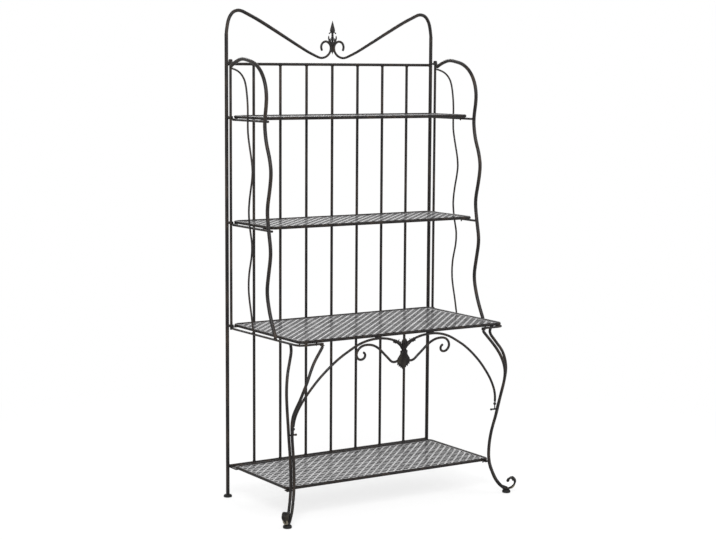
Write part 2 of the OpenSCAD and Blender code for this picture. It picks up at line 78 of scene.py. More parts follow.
class FinishSettings(bpy.types.PropertyGroup):
    """Colours and roughness of the finishes"""
    paint: bpy.props.FloatVectorProperty(
        name="Paint", description="Dark brown-black paint of the bars", subtype="COLOR", size=4,
        min=0, max=1, default=(0.0075, 0.0065, 0.0066, 1))
    bronze: bpy.props.FloatVectorProperty(
        name="Rubbed bronze", description="Bronze rubbed over the paint", subtype="COLOR", size=4,
        min=0, max=1, default=(0.085, 0.060, 0.042, 1))
    gold: bpy.props.FloatVectorProperty(
        name="Antique gold", description="Gold left on the castings", subtype="COLOR", size=4,
        min=0, max=1, default=(0.15, 0.132, 0.088, 1))
    sheet: bpy.props.FloatVectorProperty(
        name="Mesh paint", description="Paint of the mesh sheets", subtype="COLOR", size=4,
        min=0, max=1, default=(0.012, 0.012, 0.013, 1))
    rubber: bpy.props.FloatVectorProperty(
        name="Foot rubber", description="Black rubber of the foot pads", subtype="COLOR", size=4,
        min=0, max=1, default=(0.012, 0.012, 0.012, 1))
    roughness: bpy.props.FloatProperty(
        name="Paint roughness", description="Mean roughness of the paint", subtype="FACTOR",
        min=0.1, max=1, default=0.42)


class SheetSettings(bpy.types.PropertyGroup):
    """Sizes of the shelves' mesh sheets"""
    pitch: bpy.props.FloatProperty(
        name="Pitch", description="Distance between the strands' crossings along the shelf",
        unit="LENGTH", min=0.015, max=0.06, default=0.0305)
    strand: bpy.props.FloatProperty(
        name="Strand width", description="Width of the strands", unit="LENGTH",
        min=0.001, max=0.01, default=0.0076)
    gauge: bpy.props.FloatProperty(
        name="Strand height", description="Height of the strands on edge", unit="LENGTH",
        min=0.0006, max=0.006, default=0.0035)
    border: bpy.props.FloatProperty(
        name="Border", description="Width of the flat strip round the sheet", unit="LENGTH",
        min=0.003, max=0.02, default=0.006)


class CastingSettings(bpy.types.PropertyGroup):
    """Fineness of the castings and the welds"""
    grain: bpy.props.FloatProperty(
        name="Casting grain", description="Size of the smallest form in the castings",
        unit="LENGTH", min=0.0005, max=0.002, default=0.0007)
    bead: bpy.props.FloatProperty(
        name="Weld bead", description="Thickness of the weld beads", unit="LENGTH",
        min=0.0005, max=0.004, default=0.0016)
    seed: bpy.props.IntProperty(
        name="Weld seed", description="Seed of the lumps in the welds", min=0, max=999, default=7)


class StageSettings(bpy.types.PropertyGroup):
    """Camera, floor and light"""
    camera_place: bpy.props.FloatVectorProperty(
        name="Camera place", description="Camera, measured from the posts' plane",
        unit="LENGTH", size=3, default=(-3.1486, -5.0824, 1.4879))
    camera_turn: bpy.props.FloatProperty(
        name="Camera turn", description="Turn of the view to the right of straight ahead",
        subtype="ANGLE", default=math.radians(32.68))
    camera_dip: bpy.props.FloatProperty(
        name="Camera dip", description="Dip of the view below the horizon", subtype="ANGLE",
        default=math.radians(6.856))
    camera_roll: bpy.props.FloatProperty(
        name="Camera roll", description="Lean of the camera, right side up", subtype="ANGLE",
        default=math.radians(0.337))
    focal_px: bpy.props.FloatProperty(
        name="Focal length in pixels", description="Focal length at the photograph's width",
        min=500, max=5000, default=1694.4)
    floor: bpy.props.FloatVectorProperty(
        name="Floor", description="Colour of the floor", subtype="COLOR", size=4,
        min=0, max=1, default=(0.86, 0.86, 0.86, 1))
    key_power: bpy.props.FloatProperty(
        name="Key light", description="Power of the large front light", unit="POWER",
        min=0, max=2000, default=260)
    sky: bpy.props.FloatProperty(
        name="Sky", description="Strength of the even light from all round",
        min=0, max=2, default=0.6)


# Shaders

# Sockets of a Mix node that mixes colours
MIX_A = 6
MIX_B = 7
MIX_RESULT = 2


def group_socket(group, name, direction, kind, default=None):
    """A named input or output of a shader group."""
    socket = group.interface.new_socket(name=name, in_out=direction, socket_type=kind)
    if default is not None:
        socket.default_value = default


def node(tree, kind, label, place, **values):
    """A labelled shader node."""
    n = tree.nodes.new(kind)
    n.label = label
    n.location = place
    for key, value in values.items():
        setattr(n, key, value)
    return n


def noise(tree, label, place, vector, scale, detail=4.0, roughness=0.55):
    """Noise values at the given scale."""
    n = node(tree, "ShaderNodeTexNoise", label, place)
    n.inputs["Scale"].default_value = scale
    n.inputs["Detail"].default_value = detail
    n.inputs["Roughness"].default_value = roughness
    tree.links.new(vector, n.inputs["Vector"])
    return n.outputs["Fac"]


def smooth_step(tree, label, place, value, low, high, out_low=0.0, out_high=1.0):
    """A value that eases from one level to another between low and high."""
    n = node(tree, "ShaderNodeMapRange", label, place, interpolation_type="SMOOTHSTEP")
    n.inputs["From Min"].default_value = low
    n.inputs["From Max"].default_value = high
    n.inputs["To Min"].default_value = out_low
    n.inputs["To Max"].default_value = out_high
    tree.links.new(value, n.inputs["Value"])
    return n.outputs["Result"]


def maths(tree, operation, label, place, a, b, clamp=False):
    """A Math node over two values, each a number or another node's output."""
    n = node(tree, "ShaderNodeMath", label, place, operation=operation, use_clamp=clamp)
    for socket, value in zip(n.inputs, (a, b)):
        if isinstance(value, (int, float)):
            socket.default_value = value
        else:
            tree.links.new(value, socket)
    return n.outputs["Value"]


def mix_colours(tree, label, place, factor, a, b):
    """A mix of two colours."""
    n = node(tree, "ShaderNodeMix", label, place, data_type="RGBA")
    tree.links.new(factor, n.inputs["Factor"])
    tree.links.new(a, n.inputs[MIX_A])
    tree.links.new(b, n.inputs[MIX_B])
    return n.outputs[MIX_RESULT]


def rubbed_paint_group():
    """Dark paint with bronze rubbed over it in long streaks, and fine specks."""
    name = "Rubbed paint"
    if name in bpy.data.node_groups:
        return bpy.data.node_groups[name]
    g = bpy.data.node_groups.new(name, "ShaderNodeTree")
    group_socket(g, "Paint", "INPUT", "NodeSocketColor")
    group_socket(g, "Bronze", "INPUT", "NodeSocketColor")
    group_socket(g, "Rub", "INPUT", "NodeSocketFloat", 0.5)
    group_socket(g, "Roughness", "INPUT", "NodeSocketFloat", 0.42)
    group_socket(g, "Colour", "OUTPUT", "NodeSocketColor")
    for out in ("Roughness", "Metal", "Height"):
        group_socket(g, out, "OUTPUT", "NodeSocketFloat")
    start = node(g, "NodeGroupInput", "Inputs", (-1200, 0))
    end = node(g, "NodeGroupOutput", "Outputs", (700, 0))
    place = node(g, "ShaderNodeTexCoord", "Place", (-1200, -300)).outputs["Object"]
    streak = node(g, "ShaderNodeMapping", "Brush strokes", (-1000, -300))
    streak.inputs["Scale"].default_value = (1.0, 1.0, 0.22)
    g.links.new(place, streak.inputs["Vector"])
    strokes = noise(g, "Strokes", (-800, -100), streak.outputs["Vector"], 55.0, 6.0, 0.62)
    specks = noise(g, "Specks", (-800, -350), place, 620.0, 2.0, 0.5)
    grain = noise(g, "Spray grain", (-800, -600), place, 1500.0, 2.0, 0.5)
    dents = noise(g, "Hammering", (-800, -850), place, 140.0, 2.0, 0.4)
    rubbed = maths(g, "MULTIPLY", "Rubbed part", (-350, -50),
                   smooth_step(g, "Stroke edges", (-600, -100), strokes, 0.44, 0.68),
                   start.outputs["Rub"])
    flecks = maths(g, "MULTIPLY", "Flecks", (-350, -300),
                   smooth_step(g, "Speck edges", (-600, -350), specks, 0.62, 0.72),
                   start.outputs["Rub"])
    worn = maths(g, "MAXIMUM", "Worn", (-150, -150), rubbed, flecks, clamp=True)
    colour = mix_colours(g, "Rubbed colour", (100, 150), worn, start.outputs["Paint"],
                         start.outputs["Bronze"])
    spread = smooth_step(g, "Roughness spread", (100, -100), strokes, 0.3, 0.75, -0.07, 0.12)
    rough = maths(g, "ADD", "Roughness", (300, -100), start.outputs["Roughness"], spread)
    metal = maths(g, "MULTIPLY", "Metal", (300, -250), worn, 0.55)
    height = maths(g, "ADD", "Height", (300, -450),
                   maths(g, "MULTIPLY", "Grain", (100, -400), grain, 0.25), dents)
    for out, value in (("Colour", colour), ("Roughness", rough), ("Metal", metal),
                       ("Height", height)):
        g.links.new(value, end.inputs[out])
    return g


def dust_and_top_highlight_group():
    """Lighter colour on faces that look up: a thin dust on the bars, and on the sheets a painted
    highlight on the strands' flat tops.
    """
    name = "Dust on top"
    if name in bpy.data.node_groups:
        return bpy.data.node_groups[name]
    g = bpy.data.node_groups.new(name, "ShaderNodeTree")
    group_socket(g, "Colour", "INPUT", "NodeSocketColor")
    group_socket(g, "Dust and highlight", "INPUT", "NodeSocketColor", (0.46, 0.455, 0.46, 1))
    group_socket(g, "Amount", "INPUT", "NodeSocketFloat", 0.2)
    group_socket(g, "Colour", "OUTPUT", "NodeSocketColor")
    start = node(g, "NodeGroupInput", "Inputs", (-700, 0))
    end = node(g, "NodeGroupOutput", "Outputs", (500, 0))
    place = node(g, "ShaderNodeTexCoord", "Place", (-700, -250))
    split = node(g, "ShaderNodeSeparateXYZ", "Which way is up", (-500, -250))
    g.links.new(place.outputs["Normal"], split.inputs["Vector"])
    # Faces that look up get dust on the bars and a painted highlight on the sheets' strand tops
    up = smooth_step(g, "Faces up", (-300, -250), split.outputs["Z"], 0.78, 0.98)
    cloudy = noise(g, "Patches", (-500, -450), place.outputs["Object"], 30.0)
    patchy = smooth_step(g, "Patches", (-300, -450), cloudy, 0.3, 0.7, 0.4, 1.0)
    lies = maths(g, "MULTIPLY", "Where dust and highlight lie", (-150, -300), up, patchy)
    cover = maths(g, "MULTIPLY", "Cover", (0, -200), lies, start.outputs["Amount"])
    g.links.new(mix_colours(g, "Colour with dust and highlight", (250, 0), cover, start.outputs["Colour"],
                            start.outputs["Dust and highlight"]), end.inputs["Colour"])
    return g


def painted_material(name, paint, bronze, roughness, rub, gloss, dust_and_highlight, bump):
    """Rubbed paint with its own amounts."""
    if name in bpy.data.materials:
        return bpy.data.materials[name]
    m = bpy.data.materials.new(name)
    m.use_nodes = True
    tree = m.node_tree
    shader = tree.nodes["Principled BSDF"]
    shader.inputs["Specular IOR Level"].default_value = gloss
    coat = node(tree, "ShaderNodeGroup", "Rubbed paint", (-600, 200),
                node_tree=rubbed_paint_group())
    coat.inputs["Paint"].default_value = paint
    coat.inputs["Bronze"].default_value = bronze
    coat.inputs["Rub"].default_value = rub
    coat.inputs["Roughness"].default_value = roughness
    # Lighter colour on upward faces: dust, and where the amount is high a painted highlight
    dust_and_highlight_node = node(tree, "ShaderNodeGroup", "Dust on top", (-300, 300), node_tree=dust_and_top_highlight_group())
    dust_and_highlight_node.inputs["Amount"].default_value = dust_and_highlight
    relief = node(tree, "ShaderNodeBump", "Relief", (-300, -200))
    relief.inputs["Strength"].default_value = bump
    relief.inputs["Distance"].default_value = 0.0006
    tree.links.new(coat.outputs["Colour"], dust_and_highlight_node.inputs["Colour"])
    tree.links.new(dust_and_highlight_node.outputs["Colour"], shader.inputs["Base Color"])
    tree.links.new(coat.outputs["Roughness"], shader.inputs["Roughness"])
    tree.links.new(coat.outputs["Metal"], shader.inputs["Metallic"])
    tree.links.new(coat.outputs["Height"], relief.inputs["Height"])
    tree.links.new(relief.outputs["Normal"], shader.inputs["Normal"])
    return m


def finish_materials(scene):
    """The finishes by name, made once from the settings."""
    s = scene.shelf_finish
    rough = s.roughness
    return {
        "bars": painted_material("bar_paint", s.paint, s.bronze, rough,
                                 rub=0.3, gloss=0.18, dust_and_highlight=0.03, bump=0.08),
        "rims": painted_material("rim_paint", s.paint, s.bronze, rough,
                                 rub=0.2, gloss=0.12, dust_and_highlight=0.0, bump=0.08),
        # The sheets' high dust amount paints a highlight on the strands' flat tops, not dust
        "sheet": painted_material("sheet_paint", s.sheet, s.bronze, rough - 0.2,
                                  rub=0.05, gloss=0.3, dust_and_highlight=0.95, bump=0.1),
        "casting": painted_material("casting_paint", s.paint, s.gold, rough,
                                    rub=0.12, gloss=0.12, dust_and_highlight=0.02, bump=0.5),
        "foot": painted_material("foot_paint", s.paint, s.gold, rough,
                                 rub=0.1, gloss=0.1, dust_and_highlight=0.02, bump=0.4),
        "gilt": painted_material("gilt_paint", s.gold, s.bronze, rough,
                                 rub=0.3, gloss=0.5, dust_and_highlight=0.0, bump=0.3),
        "rubber": painted_material("rubber", s.rubber, s.rubber, 0.6,
                                   rub=0.0, gloss=0.12, dust_and_highlight=0.0, bump=0.3),
    }


# Meshes

TUBE_STEPS = 6      # rings from one point of a tube to the next
TUBE_SIDES = 12
END_ANGLES = (80, 50, 25)      # where the rings of a tube's round end stand, in degrees


def add_piece(name, verts, faces, material, body, smooth=True):
    """A mesh piece that rides on a body, with the given finish."""
    mesh = bpy.data.meshes.new(name)
    mesh.from_pydata([tuple(v) for v in verts], [], faces)
    mesh.validate()
    b = bmesh.new()
    b.from_mesh(mesh)
    bmesh.ops.recalc_face_normals(b, faces=b.faces)
    b.to_mesh(mesh)
    b.free()
    mesh.materials.append(material)
    for polygon in mesh.polygons:
        polygon.use_smooth = smooth
    piece = bpy.data.objects.new(name, mesh)
    bpy.context.scene.collection.objects.link(piece)
    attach(piece, body)
    return piece


def smooth_path(points):
    """A smooth run through the points."""
    p = [Vector(q) for q in points]
    last = len(p) - 1
    out = []
    for i in range(last):
        before = p[max(i - 1, 0)]
        after = p[min(i + 2, last)]
        for k in range(TUBE_STEPS):
            t = k / TUBE_STEPS
            a = (p[i + 1] - before) / 2
            b = (after - p[i]) / 2
            h1 = 2 * t ** 3 - 3 * t ** 2 + 1
            h2 = t ** 3 - 2 * t ** 2 + t
            h3 = 3 * t ** 2 - 2 * t ** 3
            h4 = t ** 3 - t ** 2
            out.append(p[i] * h1 + a * h2 + p[i + 1] * h3 + b * h4)
    out.append(p[last])
    return out


def headings(path):
    """The way a path runs at each of its points."""
    last = len(path) - 1
    return [(path[min(i + 1, last)] - path[max(i - 1, 0)]).normalized() for i in range(last + 1)]


def spread_radii(radii, count):
    """Radii for all rings of a tube, from those at its points."""
    last = len(radii) - 1
    sizes = []
    for k in range(count):
        a = radii[min(k // TUBE_STEPS, last)]
        b = radii[min(k // TUBE_STEPS + 1, last)]
        sizes.append(a + (b - a) * (k % TUBE_STEPS / TUBE_STEPS))
    return sizes


class Shape:
    """Vertices and faces that are gathered into one mesh."""

    def __init__(self):
        self.verts = []
        self.faces = []

    def add(self, verts, faces):
        start = len(self.verts)
        self.verts.extend(Vector(v) for v in verts)
        self.faces.extend(tuple(i + start for i in face) for face in faces)

    def loft(self, rings):
        """Joins rings of equal size by quads, and closes both ends."""
        count = len(rings[0])
        last = (len(rings) - 1) * count
        faces = []
        for k in range(len(rings) - 1):
            for j in range(count):
                a = k * count + j
                b = k * count + (j + 1) % count
                faces.append((a, b, b + count, a + count))
        faces.append(tuple(reversed(range(count))))
        faces.append(tuple(last + j for j in range(count)))
        self.add([v for ring in rings for v in ring], faces)

    def tube(self, points, radii, side=(0, 1, 0), wide=1.0):
        """A bent rod with round ends; side is square to the bend, and wide stretches it so."""
        path = smooth_path(points)
        sizes = spread_radii(radii, len(path))
        ahead = headings(path)

        def round_end(k, way, angles):
            return [(path[k] + way * ahead[k] * sizes[k] * math.sin(a), ahead[k],
                     sizes[k] * math.cos(a)) for a in map(math.radians, angles)]

        stations = round_end(0, -1, END_ANGLES)
        stations += list(zip(path, ahead, sizes))
        stations += round_end(-1, 1, reversed(END_ANGLES))
        rings = []
        for at, t, r in stations:
            across = t.cross(Vector(side)).normalized()
            over = across.cross(t)
            rings.append([at + (across * math.cos(a) + over * wide * math.sin(a)) * r
                          for a in (2 * math.pi * j / TUBE_SIDES for j in range(TUBE_SIDES))])
        self.loft(rings)

    def ball(self, centre, radius, flat=1.0):
        self.revolve([(radius * math.cos(a), radius * math.sin(a))
                      for a in (math.radians(d) for d in range(-85, 90, 17))],
                     Matrix.Translation(centre), 14, flat)

    def revolve(self, profile, place=Matrix(), count=32, flat=1.0):
        """Turns (radius, height) points round Z; flat squeezes the result along Y."""
        rings = []
        for radius, height in profile:
            rings.append([
                place @ Vector((radius * math.cos(a), radius * flat * math.sin(a), height))
                for a in (2 * math.pi * j / count for j in range(count))])
        self.loft(rings)


# Bars and plates that keep their CAD shape

def round_off(obj):
    """Rounds a bent bar's facets without changing its own mesh."""
    weld = obj.modifiers.new("Join edges", "WELD")
    weld.merge_threshold = 0.00005
    smooth = obj.modifiers.new("Round bar", "SUBSURF")
    smooth.levels = 1
    smooth.render_levels = 1


class PLANTSHELF_OT_paint_frame(bpy.types.Operator):
    """Paints the bars, rails, plates and rims, and rounds the bent bars"""
    bl_idname = "plantshelf.paint_frame"
    bl_label = "Paint the frame"

    def execute(self, context):
        finishes = finish_materials(context.scene)
        for name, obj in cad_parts.items():
            finish = "bars"
            if name.endswith("_rim"):
                finish = "rims"
            elif name.endswith("_mesh"):
                finish = "sheet"
            elif name.startswith(PADS):
                finish = "rubber"
            elif name.startswith(CASTINGS):
                finish = "casting"
            for slot in obj.material_slots:
                slot.material = finishes[finish]
            if name.startswith(BENT_BARS):
                round_off(obj)
        return {"FINISHED"}


# Mesh sheets

CELL = 12      # points round one level of a crossing
BORDER_LAP = 0.0012      # how far the strands run into the border
BORDER_CORNER = 0.013


def crossing_outline(pitch, half, level):
    """Outline of a crossing of two strands; the arms end halfway to the next crossings."""
    reach = pitch / 4
    side = half / math.sqrt(2)
    points = []
    for k in range(4):
        turn = Matrix.Rotation(math.radians(90 * k), 3, "Z")
        for x, y in ((half * math.sqrt(2), 0), (reach + side, reach - side),
                     (reach - side, reach + side)):
            points.append(turn @ Vector((x, y, level)))
    return points


def crossing(s):
    """Vertices and faces of a crossing with eased edges, open where its arms end."""
    half = s.strand / 2
    ease = s.gauge / 4
    levels = ((half - ease, s.gauge / 2), (half, s.gauge / 2 - ease), (half, ease - s.gauge / 2),
              (half - ease, -s.gauge / 2))
    verts = [point for width, level in levels
             for point in crossing_outline(s.pitch, width, level)]
    lowest = (len(levels) - 1) * CELL
    middle = (0, 3, 6, 9)
    arms = [(k + 1, k + 2, (k + 3) % CELL, k) for k in middle]
    faces = [middle, tuple(i + lowest for i in reversed(middle))] + arms
    faces += [tuple(i + lowest for i in reversed(arm)) for arm in arms]
    for level in range(len(levels) - 1):
        for k in range(CELL):
            if k % 3 != 1:
                a = level * CELL + k
                b = level * CELL + (k + 1) % CELL
                faces.append((a, a + CELL, b + CELL, b))
    return verts, faces


def border_rings(mid, half_x, half_y, width, gauge):
    """Rings of a flat strip with rounded outer corners and eased edges."""
    ease = gauge / 4
    rings = []
    for inset, level in ((0, ease - gauge / 2), (0, gauge / 2 - ease), (ease, gauge / 2),
                         (width - ease, gauge / 2), (width, gauge / 2 - ease),
                         (width, ease - gauge / 2), (width - ease, -gauge / 2),
                         (ease, -gauge / 2)):
        radius = max(BORDER_CORNER - inset, 0.002)
        ring = []
        for sx, sy, start in ((1, -1, -90), (1, 1, 0), (-1, 1, 90), (-1, -1, 180)):
            for k in range(5):
                a = math.radians(start + 22.5 * k)
                x = sx * (half_x - inset - radius) + radius * math.cos(a)
                y = sy * (half_y - inset - radius) + radius * math.sin(a)
                ring.append(mid + Vector((x, y, level)))
        rings.append(ring)
    return rings


def trim_strands(b, mid, half_x, half_y, inset):
    """Cuts the strands off under the border and closes their ends."""
    for normal, reach in (((1, 0, 0), half_x), ((-1, 0, 0), half_x), ((0, 1, 0), half_y),
                          ((0, -1, 0), half_y)):
        cut = bmesh.ops.bisect_plane(b, geom=b.verts[:] + b.edges[:] + b.faces[:],
                                     plane_co=mid + Vector(normal) * (reach - inset),
                                     plane_no=normal, clear_outer=True)
        edges = [e for e in cut["geom_cut"] if isinstance(e, bmesh.types.BMEdge)]
        bmesh.ops.holes_fill(b, edges=edges, sides=0)


def add_border(b, rings):
    """Closes the border's rings round into one strip."""
    verts = [[b.verts.new(v) for v in ring] for ring in rings]
    for k, ring in enumerate(verts):
        above = verts[(k + 1) % len(verts)]
        for j in range(len(ring)):
            n = (j + 1) % len(ring)
            b.faces.new((ring[j], ring[n], above[n], above[j]))


def build_sheet(node_name, body, material, s):
    """A lattice of flat strands with a solid strip round it, in the node's place."""
    low, high, mid = node_box(node_name)
    half_x = (high.x - low.x) / 2
    half_y = (high.y - low.y) / 2
    shape = Shape()
    verts, faces = crossing(s)
    columns = int(half_x // (s.pitch / 2)) + 1
    rows = int(half_y // (s.pitch / 2)) + 1
    for i in range(-columns, columns + 1):
        for j in range(-rows, rows + 1):
            if (i + j) % 2 == 0:
                at = Vector((i * s.pitch / 2, j * s.pitch / 2, 0)) + mid
                shape.add([at + v for v in verts], faces)
    piece = add_piece(node_name + "_lattice", shape.verts, shape.faces, material, body,
                      False)
    b = bmesh.new()
    b.from_mesh(piece.data)
    bmesh.ops.remove_doubles(b, verts=b.verts, dist=1e-5)
    trim_strands(b, mid, half_x, half_y, s.border - BORDER_LAP)
    add_border(b, border_rings(mid, half_x, half_y, s.border, s.gauge * 1.1))
    bmesh.ops.recalc_face_normals(b, faces=b.faces)
    b.to_mesh(piece.data)
    b.free()
    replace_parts(piece, node_name)


class PLANTSHELF_OT_mesh_sheets(bpy.types.Operator):
    """Makes the lattice sheets of the four shelves"""
    bl_idname = "plantshelf.mesh_sheets"
    bl_label = "Make the mesh sheets"

    def execute(self, context):
        material = finish_materials(context.scene)["sheet"]
        for shelf in SHELVES:
            build_sheet(shelf + "_mesh", shelf, material, context.scene.shelf_sheet)
        return {"FINISHED"}


# Castings, drawn in millimetres

FINIAL_HEIGHT = 0.132      # above the crest's low points
ORNAMENT_HEIGHT = 0.112
ORNAMENT_SLOPE = 0.07      # how far a form leans back for its height
LEAF_SLOPE = 0.134
RIM_GAP = 0.001      # between the shelf's rim and the castings under it
ANKLE_HEIGHT = 0.072
PAD_REACH = 0.051      # from the ankle out to the middle of the pad


def cast(shape, place, name, material, body, grain):
    """Fuses the gathered forms into one skin, as a casting has."""
    piece = add_piece(name, [place @ v for v in shape.verts], shape.faces, material, body)
    fuse = piece.modifiers.new("One skin", "REMESH")
    fuse.mode = "VOXEL"
    fuse.voxel_size = grain
    fuse.use_smooth_shade = True
    soften = piece.modifiers.new("Cast edges", "SMOOTH")
    soften.factor = 0.5
    soften.iterations = 3
    graph = bpy.context.evaluated_depsgraph_get()
    mesh = bpy.data.meshes.new_from_object(piece.evaluated_get(graph), depsgraph=graph)
    piece.modifiers.clear()
    old = piece.data
    piece.data = mesh
    mesh.name = name
    bpy.data.meshes.remove(old)
    return piece


def millimetres(place, turn=Matrix()):
    """A turned frame in millimetres at a place in metres."""
    return Matrix.Translation(place) @ turn @ Matrix.Scale(0.001, 4)


def finial_shape():
    """Spearhead over two barbs, a ringed neck and a leafy cup; from the crest's low points up."""
    shape = Shape()
    shape.revolve([(0.5, 56), (3.5, 58), (4.6, 64), (4.0, 68), (5.2, 72), (4.2, 75), (3.6, 78),
                   (4.8, 80), (3.6, 82), (4.2, 86), (5.0, 91), (0.5, 93)])
    rings = []
    for z, edge in ((87, 5.5), (91, 9.2), (95, 11.6), (101, 10.4), (110, 7.6), (120, 4.4),
                    (128, 1.7), (132, 0.4)):
        ridge = 0.5 * edge
        flank = (0.45 * edge, 0.3 * edge)
        rings.append([Vector(v) for v in (
            (edge, 0, z), (flank[0], flank[1], z), (0, ridge, z), (-flank[0], flank[1], z),
            (-edge, 0, z), (-flank[0], -flank[1], z), (0, -ridge, z), (flank[0], -flank[1], z))])
    shape.loft(rings)
    shape.tube([(0, 0, 14), (0, 0, 30), (0, 0, 50)], [1.0, 2.4, 3.4])
    for s in (-1, 1):
        # Barb, outer leaf and the curl inside it
        shape.tube([(s * 3, 0, 90), (s * 8, 0, 89.5), (s * 11.5, 0, 87)], [1.9, 1.8, 2.2])
        shape.ball((s * 12.2, 0, 86.3), 2.9)
        shape.tube([(s * 2, 0, 20), (s * 5.2, 0, 34), (s * 9.8, 0, 47), (s * 13.4, 0, 60),
                    (s * 15.4, 0, 70), (s * 15.0, 0, 77)], [1.4, 2.4, 3.0, 2.6, 2.8, 1.6])
        curl = []
        for k in range(7):
            a = math.radians(-70 + 62 * k)
            r = 4.4 - 0.5 * k
            curl.append((s * (6.6 + r * math.cos(a)), 0, 64.5 + r * math.sin(a)))
        shape.tube([(s * 3.4, 0, 46), (s * 6.5, 0, 55)] + curl,
                   [1.8, 1.8, 1.8, 1.8, 1.6, 1.5, 1.4, 1.4, 1.4])
        # Inner leaf, and the cup's side leaf
        shape.tube([(s * 1.5, 0, 46), (s * 1.8, 0, 58)], [3.2, 2.0])
        shape.tube([(s * 9, 2, 50), (s * 14, 3, 53), (s * 19, 2, 52)], [2.6, 2.8, 1.2])
    return shape


def ornament_shape():
    """Drapery that fans out to pointed tips, with a waist and a top leaf; from the tip up."""
    shape = Shape()
    shape.revolve([(0.5, 0), (4.5, 5), (8.5, 13), (11.5, 24), (10.5, 40), (8, 56), (6.4, 67),
                   (7.2, 75), (7.4, 83), (5.6, 90), (8.6, 96), (7.2, 103), (3.6, 109),
                   (0.4, 112)], flat=0.62)
    folds = (((0, 66), (0, 40), (0, 20), (0, 3)), ((3, 66), (6.5, 42), (9, 24), (9.5, 8)),
             ((5, 64), (11, 42), (14.5, 26), (17, 12)), ((6.5, 62), (14, 44), (19, 31), (23.5, 18)),
             ((7.5, 60), (14, 48), (20, 39), (26, 30)))
    for k, fold in enumerate(folds):
        for s in ((1,) if k == 0 else (-1, 1)):
            for depth in (-1, 1):
                near = depth * (5.4 - 0.9 * k)
                points = [(s * x, near * (1 - 0.25 * i), z) for i, (x, z) in enumerate(fold)]
                shape.tube(points, [2.0, 3.3, 3.9, 0.8])
    for s in (-1, 1):
        # Knot at the waist with its tassel, half of the top leaf, and a side tip
        shape.ball((s * 11.5, 0, 64), 3.6, 0.8)
        shape.tube([(s * 7, 0, 68), (s * 11, 0, 60), (s * 13, 0, 52)], [2.4, 3.0, 1.6])
        shape.tube([(s * 3, 0, 85), (s * 8.5, 0, 95), (s * 6, 0, 103), (0, 0, 110)],
                   [3.0, 3.0, 2.6, 0.8])
        shape.tube([(s * 9, -2, 22), (s * 18, -3, 27), (s * 26, -1.5, 30)], [3.4, 3.2, 2.2])
    for depth in (-1, 1):
        # Rib of the top leaf, and the band round the waist
        shape.tube([(0, depth * 3.5, 82), (0, depth * 5, 94), (0, depth * 1.5, 110)],
                   [2.4, 2.8, 0.7])
        shape.tube([(-6, depth * 3.4, 70), (0, depth * 5.4, 74), (6, depth * 3.4, 70)],
                   [2.2, 2.6, 2.2])
    return shape


def arch_leaf_shape():
    """Leaves that hold the arches' ends beside the ornament, with rings and a small prong."""
    shape = Shape()
    for s in (-1, 1):
        shape.tube([(s * 40, 0, 102.6), (s * 34, 0, 100.4), (s * 28, 0, 98), (s * 20, 0, 93),
                    (s * 12, 0, 85), (s * 7, 0, 75)], [5.2, 5.8, 5.4, 6.2, 5.6, 4.4], wide=0.9)
        for x, z in ((40, 102.6), (33, 100)):
            turn = Matrix.Rotation(math.radians(70 * s), 4, "Y")
            shape.revolve([(4.6, -1.6), (6.9, -1.1), (7.3, 0), (6.9, 1.1), (4.6, 1.6)],
                          Matrix.Translation((s * x, 0, z)) @ turn, 20)
        shape.tube([(s * 26, 0, 98), (s * 22.5, 0, 104), (s * 21, 0, 108)], [2.6, 2.0, 0.7])
        for depth in (-1, 1):
            shape.tube([(s * 30, depth * 4, 99), (s * 20, depth * 5.4, 92),
                        (s * 11, depth * 5, 82)], [1.2, 2.4, 1.6])
    return shape


def foot_shape():
    """Two rod ends that run to the pad, and a leaf that curls up and rolls in.

    Points are out from the ankle, across, and up.
    """
    shape = Shape()
    for across in (-5.6, 5.6):
        shape.tube([(0.4, across, -1), (12, across, -25), (28, across * 0.9, -45),
                    (44, across * 0.8, -57)], [5.0, 5.0, 4.8, 4.4])
    # Middle line and half width of the leaf; its outer ribs come first, then the inner ones
    leaf = ((40, -56.5, 8), (53, -58, 7.5), (66, -53, 6.5), (76, -44, 7.5), (81.5, -32, 10.5),
            (77, -21.5, 11), (67, -17.5, 10.5), (59.5, -22, 9.5))
    edge = 2.6
    for fold in range(-3, 4, 2):
        shape.tube([(out, fold / 3 * (width - edge), up) for out, up, width in leaf],
                   [3.2, 3.2, 2.9, 3.1, 3.6, 3.6, 3.2, 2.6])
    for fold in range(-2, 3, 2):
        shape.tube([(out + (70 - out) * 0.06, fold / 3 * (width - edge), up + (-37 - up) * 0.06)
                    for out, up, width in leaf], [2.8, 2.8, 2.6, 2.6, 2.8, 2.8, 2.6, 2.2])
    # Rolled end, and the fingers' tips that stand up from it
    shape.tube([(57, -9.5, -27), (57, 9.5, -27)], [5.4, 5.4], side=(1, 0, 0))
    for fold in range(-3, 4, 2):
        shape.ball((57, fold * 2.9, -24.5), 3.9)
        tip = 3 - abs(fold)
        shape.tube([(74, fold * 2.9, -24), (74.5, fold * 3.1, -19), (72, fold * 3.2, -15 + tip)],
                   [3.0, 2.8, 1.2])
    # Web between the rod ends
    shape.tube([(26, 0, -45), (38, 0, -52), (50, 0, -56)], [3, 6.5, 6.5], wide=1.5)
    return shape


def gilding_shape():
    """The two pale petals low on the front of a foot's leaf."""
    shape = Shape()
    for s in (-1, 1):
        shape.tube([(62, s * 1.4, -57.2), (70, s * 3.4, -53.2), (77.6, s * 5.6, -45.8),
                    (81.8, s * 6.6, -37)], [1.6, 3.0, 3.0, 1.3])
    return shape


def cast_finial(finishes, grain):
    """The spearhead over the crest."""
    base = Vector((0, POST_Y, node_box("finial")[1].z - FINIAL_HEIGHT))
    piece = cast(finial_shape(), millimetres(base), "crest_finial", finishes["casting"],
                 "back_frame", grain)
    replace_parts(piece, "finial")


